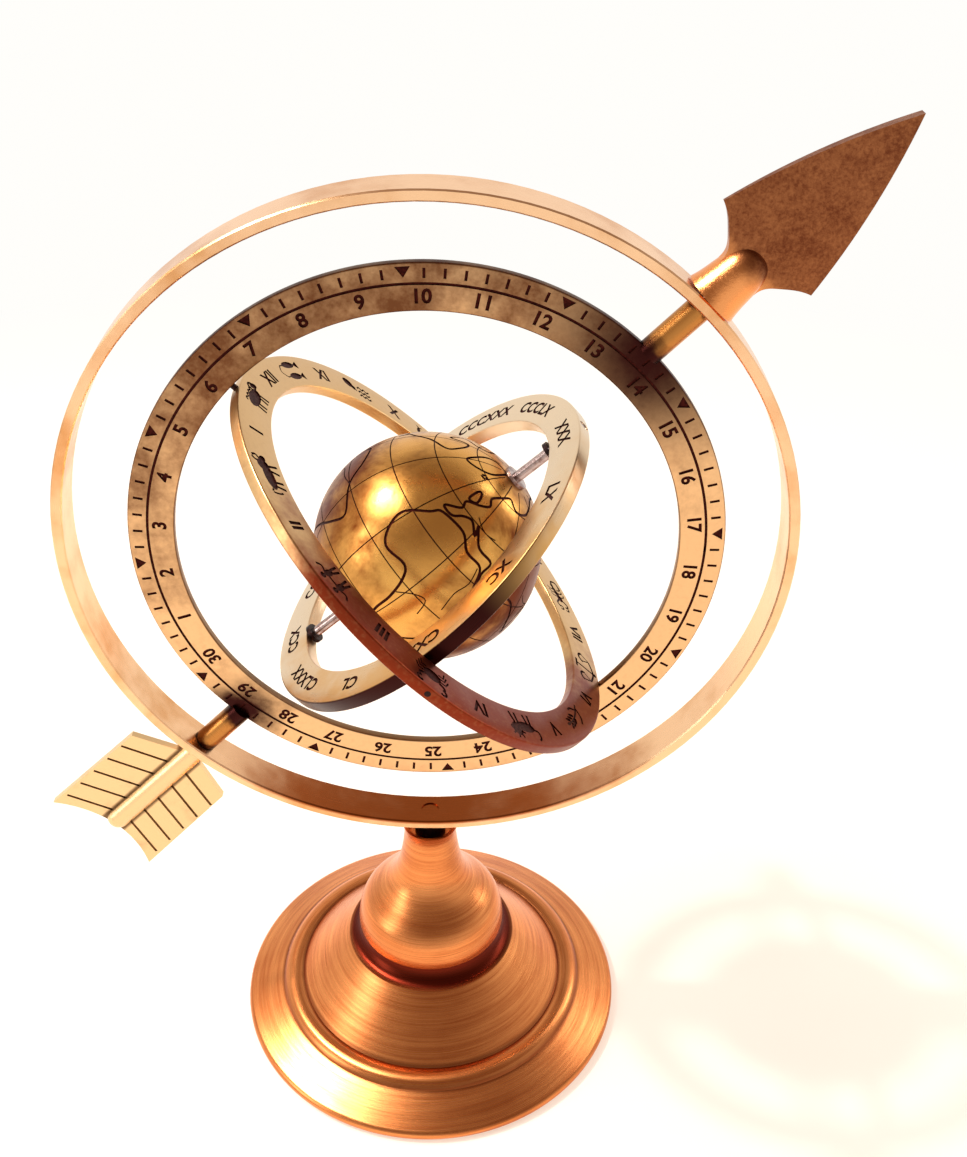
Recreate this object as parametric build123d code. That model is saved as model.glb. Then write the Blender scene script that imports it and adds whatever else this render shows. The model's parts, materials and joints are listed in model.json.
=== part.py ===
from build123d import *
from math import cos, radians, sin, sqrt
import os

os.makedirs("parts", exist_ok=True)

# Desk armillary sphere: nested brass rings that turn one inside the other on a turned stand.
# All sizes are millimetres. The origin is the middle of the felt that rests on the desk, +Z is
# up, +X is to the right of the dial's face and -Y points at the reader of the dial.

# Fits and running gaps, the break of an edge, and how far a cutter runs past a face
running_fit = 0.05
seat_fit = 0.02
end_gap = 0.2
edge_break = 0.3
cut_past = 1.0

# Globe, two pressed shells on an axle. Its radius sets the rings, each a gap outside the last
globe_radius = 23.3
globe_gap = 9.7
globe_wall = 0.9
globe_lap = 2.0
axle_radius = 1.1
axle_end_inset = 0.2
bush_radius = 1.9
bush_flange = 2.7
bush_flange_thickness = 0.6
bush_length = 3.0
collar_radius = 2.1
collar_length = 0.9

# Inner ring, which turns inside the equator ring on a front-to-back axis and carries the globe
inner_band = 7.9
inner_thickness = 3.2
inner_lean_angle = 4.5
inner_gap = 1.2

# Equator ring, which turns inside the dial on an axis square to the arrow
equator_band = 8.3
equator_thickness = 2.5
equator_lean_angle = 2.1
equator_gap = 0.9

# Dial ring, which tips on the arrow's line
dial_band = 9.4
dial_thickness = 2.0
dial_gap = 12.0

# Outer ring, fixed to the stand
outer_ring_wall = 2.3
outer_ring_width = 8.8

# Ring pivots
pivot_radius = 0.6
pivot_depth = 4.0

# Arrow: both halves are screwed on shanks that run in the outer ring
arrow_angle = 46.0
shank_radius = 1.5
shank_grip = 6.5
stub_radius = 2.6
stub_saddle = 0.9
stub_web = 0.8

# Arrow head, measured from the outer ring outwards
head_length = 47.2
barb_place = 13.5
barb_half_width = 12.5
blade_bulge = 1.2
blade_thickness = 2.2
blade_edge = 0.8
heel_half_width = 7.0
heel_place = 10.1
barb_slope = 0.3
socket_radius = 5.6
socket_waist = 4.7
socket_waist_place = 6.2
socket_taper = 0.3
socket_nose = 12.0

# Arrow tail, measured from the outer ring outwards
tail_shaft_radius = 2.7
tail_shaft_end = 0.8
vane_front = 2.8
vane_sweep = 4.6
vane_half_width = 13.0
vane_flare = 0.8
vane_length = 29.0
vane_thickness = 1.6
vane_rear_hollow = 1.3
quill_count = 5
quill_width = 0.6
quill_depth = 0.3
quill_edge_room = 0.15
first_quill_pitches = 0.8
last_quill_pitches = 0.8

# Foot, spun from one disc, from the desk up
foot_radius = 46.4
foot_wall = 1.5
foot_lift = 0.4
rim_height = 2.6
rim_roll = 0.9
skirt_width = 8.1
skirt_rise = 3.6
bead_width = 5.0
bead_rise = 1.7
bead_crown = 1.1
cone_rise = 12.6
cove_width = 3.7
cove_rise = 4.7
cove_sag = 0.3

# Neck, turned, with a bell below and an open mouth above
neck_length = 31.0
neck_foot_radius = 17.7
neck_overhang = 1.1
neck_waist_radius = 6.2
neck_mouth_radius = 6.4
neck_mouth_slope = 0.15
neck_wall = 1.6
mouth_lip = 0.8
mouth_depth = 2.6
bell_depth = 12.5

# The neck's outline and its hollow: share of the flare that is left at a share of the height
neck_shares = [(0.82, 0.255), (0.46, 0.395), (0.16, 0.575), (0.0, 0.88)]
hollow_flare_share = 0.74
hollow_height_share = 0.62

# Tie rod that clamps outer ring, spacer, neck and foot together
ring_standoff = 1.8
spacer_radius = 3.6
tie_radius = 2.0
tie_clearance = 0.15
tie_tail = 1.5
nut_flats = 7.0
nut_height = 3.2
washer_radius = 5.5
washer_thickness = 0.8

# Closing disc and felt under the foot
felt_thickness = 1.0
plate_thickness = 1.0
plate_clearance = 0.25

# Worked out from the sizes above: heights and radii of foot and neck
rim_top = foot_lift + rim_height
skirt_top = rim_top + skirt_rise
bead_top = skirt_top + bead_rise
lip_height = bead_top + cone_rise
foot_height = lip_height + cove_rise
skirt_radius = foot_radius - rim_roll
skirt_top_radius = skirt_radius - skirt_width
bead_radius = skirt_top_radius - bead_width
cove_radius = neck_foot_radius - neck_overhang
lip_radius = cove_radius + cove_width
neck_mouth_height = foot_height + neck_length
nut_top = foot_height - foot_wall - washer_thickness
nut_bottom = nut_top - nut_height

# Worked out: the closing disc wedges where the sloping skirt leaves room for it
plate_top = felt_thickness + plate_thickness
skirt_drop = foot_wall * sqrt(skirt_width ** 2 + skirt_rise ** 2) / skirt_width
plate_room = (plate_top + plate_clearance + skirt_drop - rim_top) * skirt_width / skirt_rise
plate_radius = skirt_radius - max(plate_room, foot_wall + plate_clearance)

# Worked out: the nested rings, from the globe outwards
inner_bore = globe_radius + globe_gap
inner_radius = inner_bore + inner_band
equator_bore = inner_radius + inner_gap
equator_radius = equator_bore + equator_band
dial_bore = equator_radius + equator_gap
dial_radius = dial_bore + dial_band
outer_ring_bore = dial_radius + dial_gap
outer_ring_radius = outer_ring_bore + outer_ring_wall
ring_height = neck_mouth_height + ring_standoff + outer_ring_radius
shank_bore = shank_radius + seat_fit
ring_shank_bore = shank_radius + running_fit
tail_length = vane_front + vane_length + tail_shaft_end


def unit_mix(first, second, angle):
    """Direction found by turning first towards second."""
    turn = radians(angle)
    return first * cos(turn) + second * sin(turn)


def on_axis(direction):
    """Placement at the rings' centre whose own Z axis lies along a direction."""
    return Plane(origin=centre, z_dir=direction).location


def facing(normal, across):
    """Placement at the rings' centre with a given normal and X direction."""
    return Plane(origin=centre, x_dir=across, z_dir=normal).location


# Axes of the four nested hinges, at rest
centre = Vector(0, 0, ring_height)
rearward = Vector(0, 1, 0)
arrow_axis = Vector(cos(radians(arrow_angle)), 0, sin(radians(arrow_angle)))
equator_axis = Vector(-sin(radians(arrow_angle)), 0, cos(radians(arrow_angle)))
equator_normal = unit_mix(arrow_axis, rearward, equator_lean_angle)
inner_axis = unit_mix(rearward, arrow_axis * -1, equator_lean_angle)
inner_normal = unit_mix(equator_axis, equator_normal, inner_lean_angle)
globe_axis = unit_mix(equator_normal, equator_axis * -1, inner_lean_angle)


def rod(radius, low, high):
    """Round bar along Z between two heights."""
    return Pos(0, 0, low) * Cylinder(radius, high - low, align=(Align.CENTER, Align.CENTER, Align.MIN))


def flat_ring(radius, band, thickness):
    """Ring about Z with a rectangular section and broken edges."""
    section = Pos(radius - band / 2, 0) * Rectangle(band, thickness)
    return revolve(Plane.XZ * chamfer(section.vertices(), edge_break), Axis.Z)


def drilled(ring, direction, radius, low, high):
    """Ring with a hole in its band on both sides of its centre, from a depth out past its rim."""
    for side in (direction, direction * -1):
        ring -= on_axis(side) * rod(radius, low, high + cut_past)
    return ring


def turned(outline):
    """Solid of revolution about Z from a closed outline of radius and height."""
    return revolve(Plane.XZ * make_face(outline), Axis.Z)


def make_outer_ring():
    """Meridian ring with two bores for the arrow's shanks and one for the tie rod."""
    ring = facing(rearward, Vector(1, 0, 0)) * flat_ring(outer_ring_radius, outer_ring_wall, outer_ring_width)
    ring = drilled(ring, arrow_axis, ring_shank_bore, outer_ring_bore - cut_past, outer_ring_radius)
    down = on_axis(Vector(0, 0, -1))
    return ring - down * rod(tie_radius + seat_fit, outer_ring_bore - cut_past, outer_ring_radius + cut_past)


def make_dial_ring():
    """Flat dial with pivot holes for the equator ring."""
    ring = facing(rearward, Vector(1, 0, 0)) * flat_ring(dial_radius, dial_band, dial_thickness)
    return drilled(ring, equator_axis, pivot_radius + seat_fit, dial_bore - cut_past, dial_radius)


def make_equator_ring():
    """Ring that turns in the dial: blind pivot holes outside, through holes for the inner ring."""
    ring = facing(equator_normal, equator_axis) * flat_ring(equator_radius, equator_band, equator_thickness)
    blind = equator_radius - pivot_depth - end_gap
    ring = drilled(ring, equator_axis, pivot_radius + running_fit, blind, equator_radius)
    return drilled(ring, inner_axis, pivot_radius + seat_fit, equator_bore - cut_past, equator_radius)


def make_inner_ring():
    """Ring that carries the globe's axle and turns in the equator ring."""
    ring = facing(inner_normal, globe_axis) * flat_ring(inner_radius, inner_band, inner_thickness)
    blind = inner_radius - pivot_depth - end_gap
    ring = drilled(ring, inner_axis, pivot_radius + running_fit, blind, inner_radius)
    return drilled(ring, globe_axis, axle_radius + running_fit, inner_bore - cut_past, inner_radius)


def make_pivot(direction, seat_radius, hole_radius):
    """Pivot pin, flush with the ring that holds it and sunk in the ring that turns on it."""
    return on_axis(direction) * rod(pivot_radius, hole_radius - pivot_depth, seat_radius)


def make_stub(direction):
    """Sleeve brazed astride the dial's rim, with a blind bore for the shank."""
    sleeve = rod(stub_radius, dial_radius - stub_saddle, outer_ring_bore - end_gap)
    sleeve -= rod(shank_bore, dial_radius + stub_web, outer_ring_bore)
    saddle = Cylinder(dial_radius + seat_fit, dial_thickness + 2 * seat_fit)
    sleeve -= Rot(90, 0, 0) * saddle
    return facing(direction, rearward.cross(direction)) * sleeve


def make_shank(direction):
    """Screwed shank from the stub through the outer ring into an arrow half."""
    return on_axis(direction) * rod(
        shank_radius, dial_radius + stub_web + end_gap, outer_ring_radius + shank_grip)


def arrow_half(direction, socket, flat):
    """Arrow half set on the outer ring, its flat part in the dial's plane, bored for its shank."""
    seat = outer_ring_radius + end_gap
    bore = rod(shank_bore, 0, outer_ring_radius + shank_grip + end_gap - seat)
    return facing(direction, rearward.cross(direction)) * Pos(0, 0, seat) * (socket + flat - bore)


def make_arrow_head():
    """Cast head: a round waisted socket that runs into a flat barbed blade."""
    tip = head_length - end_gap
    barb = barb_place - end_gap
    waist = socket_waist_place - end_gap
    heel = heel_place - end_gap
    flank = (barb_half_width / 2 + blade_bulge, (barb + tip) / 2)
    edges = []
    for side in (1, -1):
        edges += [
            Line((0, waist), (side * socket_waist, waist)),
            Spline(
                (side * socket_waist, waist), (side * heel_half_width, heel), (side * barb_half_width, barb),
                tangents=[(0, 1), (side, barb_slope)]),
            ThreePointArc((side * barb_half_width, barb), (side * flank[0], flank[1]), (0, tip)),
        ]
    plate = extrude(make_face(edges), blade_thickness / 2, both=True)
    thinning = (blade_thickness - blade_edge) / 2
    grind_radius = (barb_half_width ** 2 + thinning ** 2) / (2 * thinning)
    grind = Pos(0, 0, grind_radius - blade_thickness / 2) * Rot(90, 0, 0) * Cylinder(grind_radius, 3 * tip)
    blade = Rot(90, 0, 0) * (plate & grind & mirror(grind, Plane.XY))
    socket = turned([
        Line((0, 0), (socket_radius, 0)),
        Spline(
            (socket_radius, 0), (socket_waist, waist), (0, socket_nose - end_gap),
            tangents=[(-socket_taper, 1), (-1, 0)]),
        Line((0, socket_nose - end_gap), (0, 0)),
    ])
    return arrow_half(arrow_axis, socket, blade)


def vane_outline(side):
    """Swept vane on one side of the tail's shaft, in the dial's plane."""
    front_in = (side * tail_shaft_radius / 2, vane_front)
    front_out = (side * vane_half_width, vane_front + vane_sweep)
    rear_out = (side * (vane_half_width + vane_flare), vane_front + vane_sweep + vane_length)
    rear_in = (side * tail_shaft_radius / 2, vane_front + vane_length)
    hollow = (side * vane_half_width / 2, vane_front + vane_length + vane_sweep / 2 - vane_rear_hollow)
    return make_face([
        Line(front_in, front_out),
        Line(front_out, rear_out),
        ThreePointArc(rear_out, hollow, rear_in),
        Line(rear_in, front_in),
    ])


def make_arrow_tail():
    """Cast tail: a round-ended shaft with two grooved vanes."""
    shaft = rod(tail_shaft_radius, 0, tail_length - tail_shaft_radius)
    shaft += Pos(0, 0, tail_length - tail_shaft_radius) * Sphere(tail_shaft_radius)
    pitch = vane_length / (quill_count - 1 + first_quill_pitches + last_quill_pitches)
    slant = Vector(vane_half_width, vane_sweep)
    turn = slant.get_angle(Vector(1, 0, 0))
    groove = Rot(0, 0, turn) * Box(slant.length - 2 * quill_edge_room, quill_width, 2 * quill_depth)
    vanes = []
    for side in (1, -1):
        vane = extrude(vane_outline(side), vane_thickness / 2, both=True)
        for number in range(quill_count):
            middle = slant / 2 + Vector(0, vane_front + (first_quill_pitches + number) * pitch)
            for face in (1, -1):
                vane -= Pos(side * middle.X, middle.Y, face * vane_thickness / 2) * (
                    groove if side > 0 else mirror(groove, Plane.YZ))
        vanes.append(vane)
    flat = Rot(90, 0, 0) * (vanes[0] + vanes[1])
    return arrow_half(arrow_axis * -1, shaft, flat)


def at_pole(shape, north):
    """Shape made for a pole on +Z, set at the globe's north or south pole."""
    return facing(globe_axis, inner_axis) * Rot(0, 0 if north else 180, 0) * shape


def make_globe_half(north):
    """Pressed half shell with a pole hole. The northern one has a lap that enters the other."""
    past_pole = globe_radius + cut_past
    shell = (Sphere(globe_radius) - Sphere(globe_radius - globe_wall)) & rod(past_pole, 0, past_pole)
    if north:
        lap_radius = globe_radius - globe_wall - seat_fit
        inside = Sphere(lap_radius - globe_wall)
        shell += (Sphere(globe_radius) - inside) & rod(past_pole, 0, globe_lap)
        shell += (Sphere(lap_radius) - inside) & rod(past_pole, -globe_lap, globe_lap)
    return at_pole(shell - rod(bush_radius + seat_fit, 0, past_pole), north)


def make_bush(north):
    """Flanged pole bush brazed in the shell and pinned to the axle."""
    seat = sqrt(globe_radius ** 2 - bush_flange ** 2)
    crown = globe_radius + bush_flange_thickness
    bush = rod(bush_radius, crown - bush_length, crown)
    bush += rod(bush_flange, seat, crown) - Sphere(globe_radius + seat_fit)
    return at_pole(bush - rod(axle_radius + seat_fit, 0, crown + cut_past), north)


def make_axle():
    """Axle through the globe, running in the inner ring at both ends."""
    reach = inner_radius - axle_end_inset
    return on_axis(globe_axis) * rod(axle_radius, -reach, reach)


def make_collar(north):
    """Collar fixed on the axle just inside the inner ring."""
    top = inner_bore - end_gap
    collar = rod(collar_radius, top - collar_length, top)
    return at_pole(collar - rod(axle_radius + seat_fit, 0, top + cut_past), north)


def make_foot():
    """Spun foot: rolled rim, skirt, bead, cone, lip and cove, hollow beneath."""
    bead_middle = ((skirt_top_radius + bead_radius) / 2, (skirt_top + bead_top) / 2 + bead_crown)
    cove_middle = (cove_radius + cove_sag * cove_width, lip_height + cove_sag * cove_rise)
    outside = Wire([
        ThreePointArc(
            (skirt_radius, foot_lift), (foot_radius, foot_lift + rim_height / 2), (skirt_radius, rim_top)),
        Line((skirt_radius, rim_top), (skirt_top_radius, skirt_top)),
        ThreePointArc((skirt_top_radius, skirt_top), bead_middle, (bead_radius, bead_top)),
        Line((bead_radius, bead_top), (lip_radius, lip_height)),
        ThreePointArc((lip_radius, lip_height), cove_middle, (cove_radius, foot_height)),
        Line((cove_radius, foot_height), (0, foot_height)),
    ])
    inside = offset(outside, amount=foot_wall, side=Side.LEFT, closed=False)
    rim_inside = inside.vertices().sort_by(Axis.Y)[0]
    shell = turned([
        *outside.edges(),
        *inside.edges(),
        Line((skirt_radius, foot_lift), rim_inside),
        Line((0, foot_height), (0, foot_height - foot_wall)),
    ])
    return shell - rod(tie_radius + tie_clearance, 0, foot_height + cut_past)


def make_neck():
    """Turned neck: bell-shaped outside, hollow below, open mouth above, bored for the tie rod."""
    foot_edge = (neck_foot_radius, foot_height)
    mouth_edge = (neck_mouth_radius, neck_mouth_height)
    flare = neck_foot_radius - neck_waist_radius
    between = [(neck_waist_radius + left * flare, foot_height + up * neck_length) for left, up in neck_shares]
    body = turned([
        Line((0, foot_height), foot_edge),
        Spline(foot_edge, *between, mouth_edge, tangents=[(0, 1), (neck_mouth_slope, 1)]),
        Line(mouth_edge, (0, neck_mouth_height)),
        Line((0, neck_mouth_height), (0, foot_height)),
    ])
    hollow_radius = neck_foot_radius - neck_wall
    hollow_top = foot_height + bell_depth
    body -= turned([
        Line((0, foot_height), (hollow_radius, foot_height)),
        ThreePointArc(
            (hollow_radius, foot_height),
            (hollow_radius * hollow_flare_share, foot_height + bell_depth * hollow_height_share),
            (tie_radius + neck_wall, hollow_top)),
        Line((tie_radius + neck_wall, hollow_top), (0, hollow_top)),
        Line((0, hollow_top), (0, foot_height)),
    ])
    mouth_floor = neck_mouth_height - mouth_depth
    body -= rod(neck_mouth_radius - mouth_lip, mouth_floor, neck_mouth_height + cut_past)
    return body - rod(tie_radius + tie_clearance, foot_height, neck_mouth_height)


def make_spacer():
    """Sleeve in the neck's mouth that the outer ring stands on."""
    low = neck_mouth_height - mouth_depth
    high = ring_height - outer_ring_radius - seat_fit
    return rod(spacer_radius, low, high) - rod(tie_radius + tie_clearance, low - cut_past, high + cut_past)


def make_tie_rod():
    """Threaded rod, flush with the inside of the outer ring."""
    return rod(tie_radius, nut_bottom - tie_tail, ring_height - outer_ring_bore - edge_break)


def make_tie_washer():
    """Washer under the foot's top."""
    return rod(washer_radius, nut_top, nut_top + washer_thickness) - rod(
        tie_radius + tie_clearance, 0, foot_height)


def make_tie_nut():
    """Hexagonal nut under the washer."""
    blank = extrude(RegularPolygon(nut_flats / 2, 6, major_radius=False), nut_height)
    return Pos(0, 0, nut_bottom) * blank - rod(tie_radius + seat_fit, 0, foot_height)


def make_base_plate():
    """Closing disc that wedges under the skirt of the foot."""
    return rod(plate_radius, felt_thickness, plate_top)


def make_felt_pad():
    """Felt glued to the closing disc, proud of the foot's rim."""
    return rod(plate_radius, 0, felt_thickness)


solids = {
    "felt_pad": make_felt_pad(),
    "base_plate": make_base_plate(),
    "base_foot": make_foot(),
    "neck": make_neck(),
    "neck_spacer": make_spacer(),
    "tie_rod": make_tie_rod(),
    "tie_washer": make_tie_washer(),
    "tie_nut": make_tie_nut(),
    "outer_ring": make_outer_ring(),
    "dial_ring": make_dial_ring(),
    "upper_stub": make_stub(arrow_axis),
    "lower_stub": make_stub(arrow_axis * -1),
    "head_shank": make_shank(arrow_axis),
    "tail_shank": make_shank(arrow_axis * -1),
    "arrow_head": make_arrow_head(),
    "arrow_tail": make_arrow_tail(),
    "equator_pin_upper": make_pivot(equator_axis, dial_radius, equator_radius),
    "equator_pin_lower": make_pivot(equator_axis * -1, dial_radius, equator_radius),
    "equator_ring": make_equator_ring(),
    "inner_pin_front": make_pivot(inner_axis * -1, equator_radius, inner_radius),
    "inner_pin_back": make_pivot(inner_axis, equator_radius, inner_radius),
    "inner_ring": make_inner_ring(),
    "globe_north_half": make_globe_half(north=True),
    "globe_south_half": make_globe_half(north=False),
    "globe_axle": make_axle(),
    "north_bush": make_bush(north=True),
    "south_bush": make_bush(north=False),
    "north_collar": make_collar(north=True),
    "south_collar": make_collar(north=False),
}

for name, solid in solids.items():
    export_step(solid, f"parts/{name}.step")
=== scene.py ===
import json
from math import asin, ceil, cos, pi, radians, sin, tau

import bmesh
import bpy
from mathutils import Matrix, Vector
from mathutils.geometry import delaunay_2d_cdt


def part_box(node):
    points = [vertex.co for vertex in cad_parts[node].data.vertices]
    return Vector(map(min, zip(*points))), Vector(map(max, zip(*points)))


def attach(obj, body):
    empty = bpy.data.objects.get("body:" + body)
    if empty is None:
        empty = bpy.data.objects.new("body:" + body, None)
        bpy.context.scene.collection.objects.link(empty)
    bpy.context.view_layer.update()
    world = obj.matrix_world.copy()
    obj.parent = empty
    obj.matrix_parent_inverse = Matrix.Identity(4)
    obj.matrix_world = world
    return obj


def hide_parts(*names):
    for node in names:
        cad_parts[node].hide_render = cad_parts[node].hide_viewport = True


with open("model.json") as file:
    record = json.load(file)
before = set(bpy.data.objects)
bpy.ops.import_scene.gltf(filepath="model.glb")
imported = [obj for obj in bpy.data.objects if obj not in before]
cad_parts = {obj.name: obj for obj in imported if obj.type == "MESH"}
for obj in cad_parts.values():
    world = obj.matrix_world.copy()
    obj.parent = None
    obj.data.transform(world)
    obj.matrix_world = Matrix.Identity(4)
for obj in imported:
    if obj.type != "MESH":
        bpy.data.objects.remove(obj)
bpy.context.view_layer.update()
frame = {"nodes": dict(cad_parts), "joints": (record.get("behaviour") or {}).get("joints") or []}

bl_info = {
    "name": "Desk armillary sphere",
    "version": (1, 0),
    "blender": (4, 5, 0),
    "location": "3D View > Sidebar > Armillary",
    "description": "Engraved rings, globe and metal finishes for a desk armillary sphere",
    "category": "Object",
}

MM = 0.001
HINGES = {joint["name"]: joint for joint in frame["joints"]}
CENTRE = Vector(HINGES["dial_tip"]["pos_m"])
ARROW = Vector(HINGES["dial_tip"]["axis"]).normalized()
UPRIGHT = Vector(HINGES["equator_turn"]["axis"]).normalized()
FRONT_TO_BACK = Vector(HINGES["inner_turn"]["axis"]).normalized()
POLE = Vector(HINGES["globe_spin"]["axis"]).normalized()
# Middle of the foot's underside, and the room's directions
FOOT = Vector()
RIGHT = Vector((1, 0, 0))
BACK = Vector((0, 1, 0))
FORWARD = Vector((0, -1, 0))
UP = Vector((0, 0, 1))


def shade(*parts):
    """Colour as it looks on screen, turned by the sRGB curve into the linear one that a shader takes."""
    return tuple(part / 12.92 if part <= 0.04045 else ((part + 0.055) / 1.055) ** 2.4 for part in parts)


def colour(name, description, *parts):
    """Colour property with its default given as it looks on screen."""
    return bpy.props.FloatVectorProperty(
        name=name, description=description, subtype="COLOR", size=3, min=0, max=1, default=shade(*parts))


def length(name, description, millimetres):
    """Length property with its default given in millimetres."""
    return bpy.props.FloatProperty(
        name=name, description=description, unit="LENGTH", default=millimetres * MM)


def rotation(name, description, degrees):
    """Angle property with its default given in degrees."""
    return bpy.props.FloatProperty(
        name=name, description=description, unit="ROTATION", default=radians(degrees))


def amount(name, description, value):
    """Property for a plain number."""
    return bpy.props.FloatProperty(name=name, description=description, default=value)


def count_of(name, description, value):
    """Property for a whole number."""
    return bpy.props.IntProperty(name=name, description=description, default=value)


class EngravingSizes(bpy.types.PropertyGroup):
    """Sizes of everything that is cut into the rings and the globe."""

    depth: length("Depth", "How deep the marks are cut", 0.25)
    edge: length("Edge", "Radius of the rings' worn edges", 0.35)
    inset: length("Inset", "How far the worn rings stay inside their drawn size", 0.02)
    tick_count: count_of("Ticks", "Divisions round the dial", 96)
    tick_width: length("Tick width", "Width of a division's stroke", 0.55)
    tick_inner: length("Tick start", "Radius where the divisions start", 57.7)
    tick_outer: length("Tick end", "Radius where the divisions end", 59.65)
    circle_inner: length("Circle inside", "Inner radius of the dial's circle line", 56.4)
    circle_outer: length("Circle outside", "Outer radius of the dial's circle line", 56.95)
    pointer_inner: length("Pointer tip", "Radius of the pointers' tips", 57.85)
    pointer_outer: length("Pointer base", "Radius of the pointers' bases", 60.0)
    pointer_width: length("Pointer width", "Width of a pointer's base", 2.9)
    pointer_start: rotation("Pointer start", "Place of the first pointer, from the right", 4.0)
    number_count: count_of("Numbers", "Numbers round the dial", 30)
    number_height: length("Number height", "Height of the dial's numbers", 3.0)
    number_radius: length("Number radius", "Radius of the middle of the dial's numbers", 54.3)
    number_start: rotation("Number start", "Place of number nought, from the right", 210.8)
    numeral_height: length("Numeral height", "Height of the inner ring's numerals", 3.1)
    between_height: length("Small numeral height", "Height of the numerals between the figures", 3.3)
    figure_scale: amount("Figure scale", "Size of the figures on the broader ring", 1.25)
    coast_width: length("Coast width", "Width of the globe's coast lines", 0.55)
    grid_width: length("Grid width", "Width of the globe's grid lines", 0.24)
    globe_depth: length("Globe depth", "How deep the globe's lines are cut", 0.2)
    globe_turn: rotation("Globe turn", "Longitude that faces the front", 28)


class FinishColours(bpy.types.PropertyGroup):
    """Colours of the metals and of the dark fill in the engraving."""

    ring_light: colour("Outer ring", "Polished golden copper", 0.98, 0.79, 0.61)
    ring_deep: colour("Outer ring, deep", "The same where it is less polished", 0.84, 0.58, 0.33)
    # Painted shade: the darker colour inside the foot of the ring
    ring_shade: colour("Outer ring, inside", "Brown film inside the foot of the ring", 0.60, 0.30, 0.12)
    dial_pale: colour("Dial, pale", "Antique brass of the dial", 0.91, 0.73, 0.53)
    dial_brown: colour("Dial, brown", "The same with a brown film", 0.46, 0.29, 0.18)
    # Darkened by brazing at the sleeves, and also painted shade on the dial's edges and the narrow ring's
    # rim
    scorched: colour("Scorched", "Brass darkened by brazing", 0.20, 0.08, 0.07)
    fill: colour("Engraving", "Dark red-brown fill", 0.27, 0.10, 0.08)
    equator_pale: colour("Broad ring, pale", "Antique pale brass", 0.84, 0.68, 0.47)
    equator_red: colour("Broad ring, red", "Coppery red-brown tarnish", 0.50, 0.19, 0.10)
    inner_pale: colour("Inner ring", "Pale silvery brass", 0.90, 0.80, 0.67)
    inner_gold: colour("Inner ring, gold", "The same where it is rubbed", 0.86, 0.66, 0.40)
    globe_gold: colour("Globe, gold", "Rubbed golden brass", 0.90, 0.66, 0.34)
    globe_brown: colour("Globe, brown", "Brown tarnish on the globe", 0.44, 0.19, 0.06)
    head_copper: colour("Arrow head", "Satin brown copper", 0.62, 0.38, 0.23)
    head_dark: colour("Arrow head, dark", "Darker mottling on the head", 0.42, 0.21, 0.12)
    tail_cream: colour("Arrow tail", "Pale cream brass", 0.92, 0.78, 0.58)
    # Painted shade in the tail's grooves and creases, and grime in patches
    tail_shadow: colour("Arrow tail, shadow", "Dirt in the tail's grooves", 0.36, 0.24, 0.13)
    stub_brass: colour("Sleeves", "Brass of the sleeves", 0.72, 0.48, 0.24)
    spun_light: colour("Stand, light", "Spun copper of foot and neck", 0.94, 0.61, 0.36)
    spun_deep: colour("Stand, deep", "Spun copper, darker turns", 0.68, 0.34, 0.16)
    # Painted shade in the groove round the neck and in the foot's valleys
    cove_dark: colour("Stand, groove", "Dark red tarnish in the groove round the neck", 0.36, 0.11, 0.06)
    steel: colour("Steel", "Plain steel of the axle and pins", 0.74, 0.66, 0.64)
    dark_steel: colour("Dark fittings", "Blackened fittings", 0.12, 0.08, 0.07)
    felt: colour("Felt", "Green felt under the foot", 0.05, 0.16, 0.09)


class StagePlan(bpy.types.PropertyGroup):
    """Place of the camera and strength of the lamps."""

    eye: bpy.props.FloatVectorProperty(
        name="Eye", description="Place of the camera", subtype="TRANSLATION", unit="LENGTH",
        default=(0.0073, -0.2343, 0.2805))
    yaw: rotation("Yaw", "Turn of the camera to the right", 1.03)
    pitch: rotation("Pitch", "Tilt of the camera, down", 33.48)
    roll: rotation("Roll", "Roll of the camera", 1.05)
    lens: amount("Lens", "Focal length in millimetres", 42.0)
    sensor: amount("Sensor", "Height of the sensor in millimetres", 36.0)
    sun_towards: bpy.props.FloatVectorProperty(
        name="Key light", description="Direction from the rings' centre to the key light",
        subtype="DIRECTION", default=(-0.59, 0.05, 0.80))
    sun_strength: amount("Key strength", "Strength of the key light", 1.4)
    sun_size: rotation("Key size", "Apparent size of the key light", 3)
    room_light: amount("Room light", "Strength of the room's light", 0.75)


def sizes():
    """The engraving's sizes, as they are set in the scene."""
    return bpy.context.scene.engraving


class Signal:
    """A changing value in a material. Arithmetic on it adds the Math nodes that work it out."""

    def __init__(self, board, socket):
        self.board = board
        self.socket = socket

    def work(self, operation, *values):
        return self.board.add("ShaderNodeMath", dict(enumerate(values)), operation=operation)

    def __add__(self, other):
        return self.work("ADD", self, other)

    def __sub__(self, other):
        return self.work("SUBTRACT", self, other)

    def __rsub__(self, other):
        return self.work("SUBTRACT", other, self)

    def __mul__(self, other):
        return self.work("MULTIPLY", self, other)

    def __pow__(self, other):
        return self.work("POWER", self, other)

    def __rpow__(self, other):
        return self.work("POWER", other, self)

    def __abs__(self):
        return self.work("ABSOLUTE", self)

    __radd__ = __add__
    __rmul__ = __mul__

    def step(self, low, high):
        """Smooth mask: nought at one value, one at the other."""
        sockets = dict(enumerate((self, low, high, 0.0, 1.0)))
        return self.board.add("ShaderNodeMapRange", sockets, interpolation_type="SMOOTHSTEP")

    def most(self, other):
        return self.work("MAXIMUM", self, other)

    def least(self, other):
        return self.work("MINIMUM", self, other)

    def held(self):
        """Kept between nought and one."""
        return self.least(1.0).most(0.0)


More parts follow.
